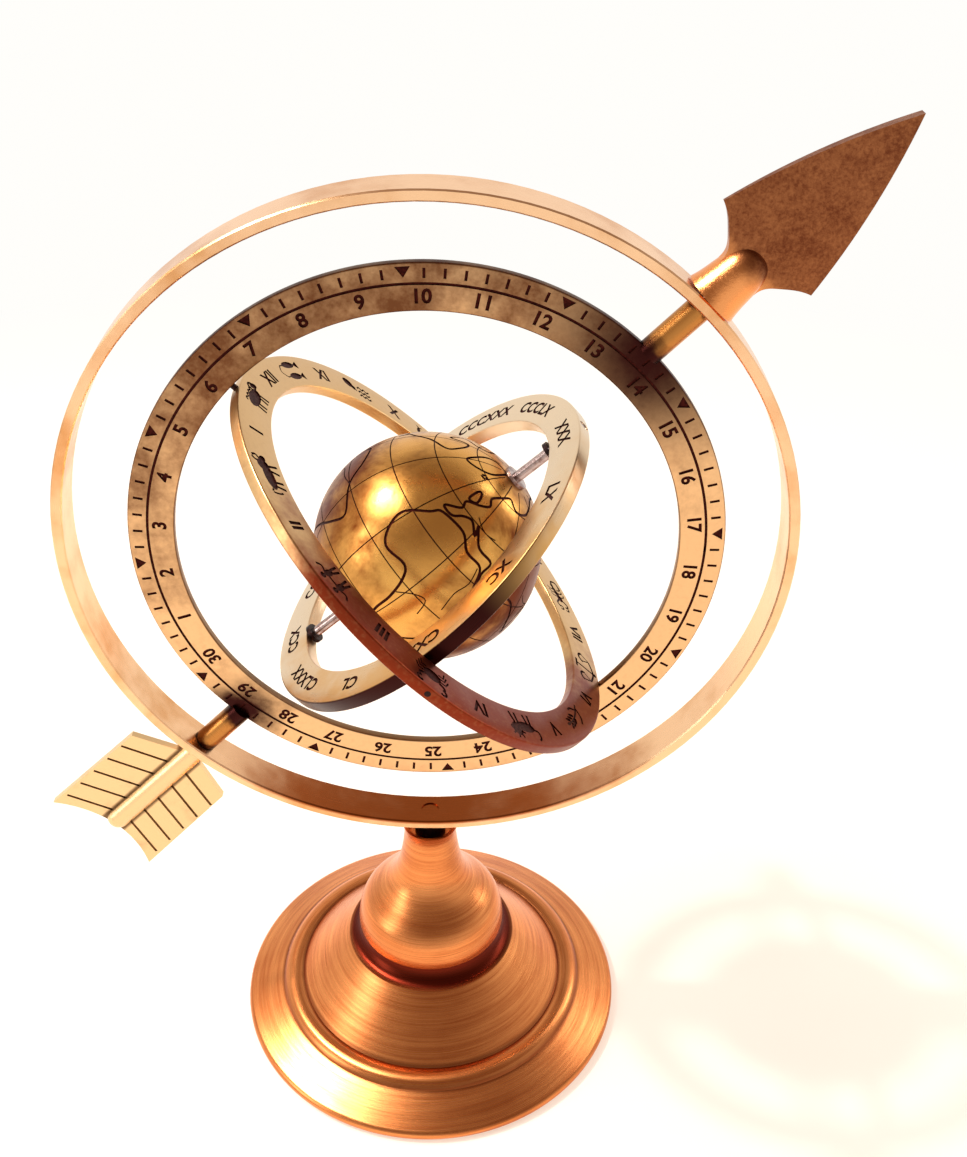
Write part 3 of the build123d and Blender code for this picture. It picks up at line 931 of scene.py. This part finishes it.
def drill(piece, direction, radius, low, high):
    """Cuts a round hole through a piece, along a line from the rings' centre."""
    net = bmesh.new()
    bmesh.ops.create_cone(
        net, cap_ends=True, segments=40, radius1=radius, radius2=radius, depth=high - low,
        matrix=Matrix.Translation(CENTRE + direction * (low + high) / 2)
        @ direction.to_track_quat("Z", "Y").to_matrix().to_4x4())
    mesh = bpy.data.meshes.new("drill")
    net.to_mesh(mesh)
    net.free()
    cutter = show("drill", mesh)
    cut = piece.modifiers.new("hole", "BOOLEAN")
    cut.object = cutter
    cut.operation = "DIFFERENCE"
    cut.solver = "EXACT"
    bpy.context.view_layer.update()
    result = bpy.data.meshes.new_from_object(piece.evaluated_get(bpy.context.evaluated_depsgraph_get()))
    piece.modifiers.clear()
    piece.data = result
    bpy.data.objects.remove(cutter)


def turned_to(direction, towards):
    """A direction or its opposite, whichever points more towards another."""
    return direction if direction.dot(towards) > 0 else -direction


def dial_marks():
    """Circle line, divisions, pointers and numbers of the dial, in millimetres."""
    plan = sizes()
    circle_steps = 192
    pointer_count = 12
    marks = circle_line(plan.circle_inner / MM, plan.circle_outer / MM, circle_steps)
    step = tau / plan.tick_count
    for number in range(plan.tick_count):
        turn = plan.pointer_start + step * number
        if number % (plan.tick_count // pointer_count):
            line = [polar(reach / MM, turn) for reach in (plan.tick_inner, plan.tick_outer)]
            marks += stroke(line, plan.tick_width / MM)
    wide = plan.pointer_width / MM / 2
    tip, base = plan.pointer_inner / MM, plan.pointer_outer / MM
    pointer = filled((0, tip - base), (wide, 0), (-wide, 0))
    for number in range(pointer_count):
        marks += round_a_ring(pointer, base, plan.pointer_start + tau * number / pointer_count)
    for number in range(1, plan.number_count + 1):
        turn = plan.number_start - tau * number / plan.number_count
        marks += round_a_ring(words(str(number), plan.number_height), plan.number_radius / MM, turn)
    return marks


class ARMILLARY_OT_dial(bpy.types.Operator):
    """Engrave the dial ring: divisions, pointers and numbers"""

    bl_idname = "armillary.dial"
    bl_label = "Dial ring"

    def execute(self, context):
        ring = engraved_ring(
            "dial_ring_engraved", "dial_ring", FORWARD, RIGHT, dial_marks(), dial_antique_brass, count=240)
        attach(ring, "dial")
        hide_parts("dial_ring")
        return {"FINISHED"}


class ARMILLARY_OT_equator(bpy.types.Operator):
    """Engrave the broader inner ring with twelve traditional figures"""

    bl_idname = "armillary.equator"
    bl_label = "Broad inner ring"

    def execute(self, context):
        normal = turned_to(UPRIGHT.cross(FRONT_TO_BACK), ARROW)
        middle = sum(band_of("equator_ring", normal)) / 2 / MM
        marks = []
        for number, figure in enumerate(FIGURES):
            shapes = [[point * sizes().figure_scale for point in shape] for shape in figure()]
            marks += round_a_ring(shapes, middle, tau * number / len(FIGURES))
            numeral = words(roman(number + 1), sizes().between_height)
            marks += round_a_ring(numeral, middle, tau * (number + 0.5) / len(FIGURES))
        ring = engraved_ring(
            "equator_ring_engraved", "equator_ring", normal, UPRIGHT, marks, broad_ring_brass, count=200)
        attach(ring, "equator")
        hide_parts("equator_ring")
        return {"FINISHED"}


def roman(number):
    """Roman numeral."""
    values = (100, 90, 50, 40, 10, 9, 5, 4, 1)
    text = ""
    for value, letters in zip(values, ("C", "XC", "L", "XL", "X", "IX", "V", "IV", "I")):
        text += letters * (number // value)
        number %= value
    return text


class ARMILLARY_OT_inner(bpy.types.Operator):
    """Engrave the narrower inner ring with its degrees, and bore it for the globe's axle"""

    bl_idname = "armillary.inner"
    bl_label = "Narrow inner ring"

    def execute(self, context):
        normal = turned_to(POLE.cross(FRONT_TO_BACK), UP)
        low, high = band_of("inner_ring", normal)
        numeral_count = 12
        marks = []
        for number in range(numeral_count):
            numeral = words(roman(360 // numeral_count * (number + 1)), sizes().numeral_height)
            marks += round_a_ring(numeral, (low + high) / 2 / MM, -tau * number / numeral_count)
        ring = engraved_ring(
            "inner_ring_engraved", "inner_ring", normal, POLE, marks, inner_ring_brass, count=180)
        bore = 1.15 * MM
        spare = 1 * MM
        for side in (1, -1):
            drill(ring, POLE * side, bore, low - spare, high + spare)
        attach(ring, "inner")
        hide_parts("inner_ring")
        return {"FINISHED"}


# Coasts by longitude and latitude in degrees, drawn simply
LANDS = {
    "africa": (
        (-6, 35), (10, 37), (20, 32), (32, 31), (37, 21), (43, 12), (51, 11), (44, 2), (40, -8), (40, -16),
        (33, -26), (26, -34), (18, -34), (13, -22), (12, -10), (9, 1), (4, 6), (-8, 4), (-15, 11),
        (-17, 20), (-10, 30)),
    "eurasia": (
        (-9, 38), (-2, 44), (-4, 48), (5, 53), (10, 57), (6, 61), (14, 67), (25, 71), (40, 67), (60, 69),
        (75, 73), (105, 77), (140, 73), (168, 69), (163, 60), (156, 52), (155, 60), (142, 54), (135, 44),
        (128, 36), (122, 39), (121, 30), (113, 22), (108, 14), (104, 2), (98, 10), (92, 21), (85, 19),
        (80, 10), (74, 18), (67, 25), (57, 26), (56, 18), (45, 13), (39, 21), (35, 29), (36, 36), (27, 37),
        (23, 38), (19, 41), (14, 45), (17, 40), (9, 44), (3, 42), (-1, 38), (-6, 37)),
    "north_america": (
        (-165, 62), (-156, 71), (-128, 70), (-95, 72), (-85, 66), (-93, 58), (-80, 52), (-77, 61),
        (-65, 60), (-56, 52), (-66, 45), (-70, 42), (-76, 35), (-81, 31), (-80, 26), (-84, 30), (-97, 27),
        (-95, 18), (-88, 21), (-87, 16), (-83, 9), (-92, 14), (-105, 20), (-112, 30), (-124, 41),
        (-125, 49), (-135, 58), (-150, 60), (-160, 57)),
    "south_america": (
        (-78, 8), (-72, 12), (-60, 9), (-50, 0), (-35, -7), (-39, -17), (-48, -27), (-58, -38), (-66, -46),
        (-68, -54), (-74, -50), (-73, -37), (-70, -20), (-80, -5), (-79, 3)),
    "greenland": ((-68, 77), (-52, 82), (-28, 82), (-22, 71), (-42, 60), (-52, 66)),
    "australia": (
        (114, -22), (122, -18), (130, -12), (136, -12), (139, -17), (143, -12), (153, -27), (150, -37),
        (140, -38), (131, -32), (116, -35)),
    "antarctica": (
        (-120, -73), (-75, -70), (-60, -64), (-55, -74), (-20, -72), (30, -69), (80, -67), (130, -66),
        (165, -71), (170, -78), (100, -79), (0, -79), (-100, -79)),
    "britain": ((-5, 50), (1, 52), (-2, 57), (-6, 57)),
    "iceland": ((-22, 64), (-15, 65), (-20, 66.5)),
    "madagascar": ((44, -24), (47, -25), (50, -15), (45, -17)),
    "japan": ((130, 32), (137, 35), (141, 39), (143, 43), (138, 38)),
    "borneo": ((109, 1), (114, -4), (118, 2), (115, 6)),
    "sumatra": ((96, 5), (105, -5), (101, -2)),
    "new_guinea": ((131, -1), (141, -3), (149, -9), (138, -8)),
    "new_zealand": ((167, -46), (173, -41), (177, -38), (172, -43)),
    "ceylon": ((80, 8), (82, 7), (81, 9)),
}
RIVERS = (
    ((31, 30), (33, 22), (31, 14), (33, 4)),
    ((-50, 0), (-60, -3), (-70, -4), (-75, -9)),
    ((12, -6), (18, 0), (24, 2), (27, -6)),
    ((-90, 30), (-91, 38), (-95, 46)),
    ((30, 46), (20, 45), (10, 48)),
    ((70, 66), (72, 56), (84, 50)),
    ((118, 32), (108, 30), (98, 33)),
    ((90, 24), (82, 26), (77, 30)),
)


def globe_marks():
    """Coasts, rivers and grid of the globe, flat, in degrees of longitude and latitude."""
    plan = sizes()
    degree = radians(1) * globe_radius()
    parallels = (-66.5, -45, -23.5, 0, 23.5, 45, 66.5)
    meridians = range(-165, 180, 30)
    grid_step = 5
    least_width = 0.15

    def stretch(point):
        return 1 / max(cos(radians(point[1])), least_width)

    marks = []
    for coast in LANDS.values():
        line = smooth_line(coast, closed=True, steps=5)
        marks += stroke(line, plan.coast_width / degree, closed=True, stretch=stretch)
    for river in RIVERS:
        marks += stroke(smooth_line(river), plan.grid_width / degree, stretch=stretch)
    fine = plan.grid_width / degree / 2
    for latitude in parallels:
        low, high = latitude - fine, latitude + fine
        for start in range(-180, 180, grid_step):
            end = start + grid_step
            marks += filled((start, low), (end, low), (end, high), (start, high))
    for longitude in meridians:
        for start in range(-80, 80, grid_step):
            line = [Vector((longitude, start)), Vector((longitude, start + grid_step))]
            marks += stroke(line, fine * 2, stretch=stretch)
    return marks


def globe_radius():
    """Radius of the CAD globe."""
    return max(corner.length for corner in corners_of("globe_north_half"))


def map_border(limit, step):
    """Flat outline of the globe's map, with the same points on its two sides."""
    last_row = 84
    low = [Vector((x, -limit)) for x in range(-180, 181, step)]
    rise = [Vector((180, y)) for y in range(-last_row, last_row + 1, step)]
    high = [Vector((-point.x, limit)) for point in low]
    fall = [Vector((-180, point.y)) for point in reversed(rise)]
    return low + rise + high + fall


def map_lattice(step):
    """Points spread over the globe's map, so that its triangles stay small."""
    return [
        Vector((x + (step / 2 if (y // step) % 2 else 0), y))
        for x in range(step - 180, 180 - step, step) for y in range(-80, 81, step)]


def line_the_globe(shell, place, wall, limit, step):
    """Adds the globe's inside and the edges of its two holes."""
    columns = range(-180, 180, step)
    loops = [
        shell.add_points([place((x, y), wall) for x in columns])
        for y in (limit, *range(80, -81, -10), -limit)]
    for first, second in zip(loops, loops[1:]):
        shell.band(first, second)
    for y, loop in ((limit, loops[0]), (-limit, loops[-1])):
        rim = shell.add_points([place((x, y), 0.0) for x in columns])
        shell.band(rim, loop, flipped=y < 0)


def round_the_skin(globe):
    """Gives the globe's skin the normals of a true ball."""
    outward = 0.9
    normals = []
    for face in globe.data.polygons:
        for corner in face.vertices:
            out = (globe.data.vertices[corner].co - CENTRE).normalized()
            skin = face.material_index == 0 and out.dot(face.normal) > outward
            normals.append(out if skin else face.normal)
    globe.data.normals_split_custom_set(normals)


class ARMILLARY_OT_globe(bpy.types.Operator):
    """Engrave the globe with coasts and grid"""

    bl_idname = "armillary.globe"
    bl_label = "Globe"

    def execute(self, context):
        plan = sizes()
        radius = globe_radius()
        wall = 0.9 * MM
        bush = 1.92 * MM
        front = (FORWARD - POLE * FORWARD.dot(POLE)).normalized()
        east = POLE.cross(front)

        def place(point, drop):
            turn = radians(point[0]) - plan.globe_turn
            latitude = radians(point[1])
            out = (front * cos(turn) + east * sin(turn)) * cos(latitude) + POLE * sin(latitude)
            return CENTRE + out * (radius - drop)

        limit = 90 - asin(bush / radius) * 180 / pi
        step = 4
        net, triangles, _ = cut_region([map_border(limit, step)], globe_marks(), map_lattice(step))
        shell = Shell()
        shell.engrave(net, triangles, place, plan.globe_depth, smooth=True)
        line_the_globe(shell, place, wall, limit, step)
        globe = shell.piece("globe_engraved", globe_brass, weld=2e-6)
        round_the_skin(globe)
        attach(globe, "globe")
        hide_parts("globe_north_half", "globe_south_half")
        return {"FINISHED"}


class ARMILLARY_OT_outer_ring(bpy.types.Operator):
    """Polish the outer ring"""

    bl_idname = "armillary.outer_ring"
    bl_label = "Outer ring"

    def execute(self, context):
        dress(outer_ring_polish, "outer_ring", "tie_rod")
        return {"FINISHED"}


class ARMILLARY_OT_arrow(bpy.types.Operator):
    """Finish the arrow's head, tail and sleeves"""

    bl_idname = "armillary.arrow"
    bl_label = "Arrow"

    def execute(self, context):
        dress(arrow_head_copper, "arrow_head")
        dress(arrow_tail_brass, "arrow_tail")
        dress(sleeve_brass, "upper_stub", "lower_stub")
        return {"FINISHED"}


class ARMILLARY_OT_pivots(bpy.types.Operator):
    """Finish the axle, pins, collars, bushes and shanks"""

    bl_idname = "armillary.pivots"
    bl_label = "Axle and pivots"

    def execute(self, context):
        dress(axle_steel, "globe_axle", "head_shank", "tail_shank", "north_bush", "south_bush")
        dress(
            blackened_fittings, "north_collar", "south_collar", "equator_pin_upper", "equator_pin_lower",
            "inner_pin_front", "inner_pin_back")
        return {"FINISHED"}


class ARMILLARY_OT_stand(bpy.types.Operator):
    """Finish the foot, neck and what clamps them"""

    bl_idname = "armillary.stand"
    bl_label = "Stand"

    def execute(self, context):
        dress(spun_copper, "base_foot", "neck")
        dress(blackened_fittings, "neck_spacer")
        dress(axle_steel, "tie_washer", "tie_nut", "base_plate")
        dress(green_felt, "felt_pad")
        return {"FINISHED"}


def stage_floor():
    """Pale floor with a painted warm glow near the foot, white far away, and the object's soft shadow."""
    material, board = new_board("stage_floor")
    camera, glossy = board.add("ShaderNodeLightPath", out=("Is Camera Ray", "Is Glossy Ray"))
    cloth = board.add("ShaderNodeBsdfDiffuse", {"Color": (0.95, 0.92, 0.86)})
    # Painted light: the warm glow near the foot tints the object's shadow
    warm, white = (1.45, 1.145, 0.935), (1.0, 0.99, 0.96)
    fade_start, fade_end = 0.22, 0.5
    near_glow, far_glow = 0.45, 1.0
    far = board.from_point(FOOT).step(fade_start, fade_end)
    glow = board.add("ShaderNodeEmission", {"Color": board.mix(far, warm, white), "Strength": 1.0})
    share = (camera + glossy).least(1.0) * (far * (far_glow - near_glow) + near_glow)
    shown = board.add("ShaderNodeMixShader", {0: share, 1: cloth, 2: glow})
    board.add("ShaderNodeOutputMaterial", {"Surface": shown})
    mesh = bpy.data.meshes.new("stage_floor")
    reach = 6.0
    corners = [(x * reach, y * reach, 0) for x, y in ((-1, -1), (1, -1), (1, 1), (-1, 1))]
    mesh.from_pydata(corners, [], [(0, 1, 2, 3)])
    mesh.materials.append(material)
    show("stage_floor", mesh)


def stage_room():
    """Room light: white behind the object, and a softer ceiling for the metal to mirror."""
    world = bpy.data.worlds.new("stage_room")
    bpy.context.scene.world = world
    world.use_nodes = True
    board = Board(world.node_tree)
    camera, glossy = board.add("ShaderNodeLightPath", out=("Is Camera Ray", "Is Glossy Ray"))
    direction = board.add("ShaderNodeTexCoord", out="Generated")
    y, z = board.add("ShaderNodeSeparateXYZ", {0: direction}, out=("Y", "Z"))
    ceiling = (z + (y * -0.25)).step(0.15, 0.85)
    mirrored = board.mix(ceiling, (1.0, 0.97, 0.92), (0.30, 0.22, 0.17))
    plain = board.mix(z.step(0.0, 1.0), (0.9, 0.88, 0.85), (0.7, 0.66, 0.62))
    lit, seen, white = (
        board.add("ShaderNodeBackground", {"Color": tone, "Strength": strength}) for tone, strength in (
            (plain, bpy.context.scene.stage.room_light), (mirrored, 1.0), ((1.0, 0.995, 0.98), 1.0)))
    shown = board.add("ShaderNodeMixShader", {0: glossy, 1: lit, 2: seen})
    shown = board.add("ShaderNodeMixShader", {0: camera, 1: shown, 2: white})
    board.add("ShaderNodeOutputWorld", {"Surface": shown})


def stage_lamps():
    """Key light that throws the shadow to the right, and soft panels for the metal's highlights."""
    plan = bpy.context.scene.stage
    towards = Vector(plan.sun_towards).normalized()
    sun = bpy.data.lights.new("key_light", "SUN")
    sun.energy = plan.sun_strength
    sun.angle = plan.sun_size
    sun.color = (1.0, 0.95, 0.88)
    key = show("key_light", sun)
    key.rotation_euler = towards.to_track_quat("Z", "Y").to_euler()
    for name, direction, reach, width, height, energy in (
        ("window_panel", towards, 0.75, 0.42, 0.26, 4.5),
        ("left_panel", Vector((-0.9, -0.35, 0.25)), 0.8, 0.22, 0.5, 1.6),
        ("right_panel", Vector((0.85, 0.35, 0.40)), 0.8, 0.2, 0.5, 1.2),
    ):
        lamp = bpy.data.lights.new(name, "AREA")
        lamp.shape = "RECTANGLE"
        lamp.size, lamp.size_y = width, height
        lamp.energy = energy
        panel = show(name, lamp)
        panel.location = CENTRE + direction.normalized() * reach
        panel.rotation_euler = direction.to_track_quat("Z", "Y").to_euler()


def stage_camera():
    """Camera at the photograph's place and angle."""
    plan = bpy.context.scene.stage
    lens = bpy.data.cameras.new("photo_view")
    lens.sensor_fit = "VERTICAL"
    lens.sensor_height = plan.sensor
    lens.sensor_width = plan.sensor
    lens.lens = plan.lens
    lens.clip_start = 0.01
    lens.clip_end = 50.0
    forward = Vector((sin(plan.yaw) * cos(plan.pitch), cos(plan.yaw) * cos(plan.pitch), -sin(plan.pitch)))
    right = Vector((cos(plan.yaw), -sin(plan.yaw), 0))
    up = right.cross(forward)
    rolled_right = right * cos(plan.roll) + up * sin(plan.roll)
    rolled_up = up * cos(plan.roll) - right * sin(plan.roll)
    camera = show("photo_view", lens)
    turn = Matrix((rolled_right, rolled_up, -forward)).transposed().to_4x4()
    camera.matrix_world = Matrix.Translation(Vector(plan.eye)) @ turn
    bpy.context.scene.camera = camera


class ARMILLARY_OT_stage(bpy.types.Operator):
    """Set the floor, room, lamps and camera"""

    bl_idname = "armillary.stage"
    bl_label = "Stage"

    def execute(self, context):
        bpy.context.scene.view_settings.view_transform = "Standard"
        stage_floor()
        stage_room()
        stage_lamps()
        stage_camera()
        return {"FINISHED"}


class ARMILLARY_PT_panel(bpy.types.Panel):
    """Lists the pieces of the armillary sphere"""

    bl_label = "Armillary sphere"
    bl_space_type = "VIEW_3D"
    bl_region_type = "UI"
    bl_category = "Armillary"

    def draw(self, context):
        for step in STEPS:
            self.layout.operator(step.bl_idname)
        for group in (context.scene.engraving, context.scene.finishes, context.scene.stage):
            column = self.layout.column()
            for name in group.__annotations__:
                column.prop(group, name)


STEPS = (
    ARMILLARY_OT_dial, ARMILLARY_OT_equator, ARMILLARY_OT_inner, ARMILLARY_OT_globe, ARMILLARY_OT_outer_ring,
    ARMILLARY_OT_arrow, ARMILLARY_OT_pivots, ARMILLARY_OT_stand, ARMILLARY_OT_stage)
GROUPS = {"engraving": EngravingSizes, "finishes": FinishColours, "stage": StagePlan}


def register():
    for part in (*GROUPS.values(), *STEPS, ARMILLARY_PT_panel):
        bpy.utils.register_class(part)
    for name, group in GROUPS.items():
        setattr(bpy.types.Scene, name, bpy.props.PointerProperty(type=group))


def unregister():
    for name in GROUPS:
        delattr(bpy.types.Scene, name)
    for part in (*GROUPS.values(), *STEPS, ARMILLARY_PT_panel):
        bpy.utils.unregister_class(part)


def main():
    register()
    for step in STEPS:
        group, name = step.bl_idname.split(".")
        getattr(getattr(bpy.ops, group), name)()


if __name__ == "__main__":
    main()
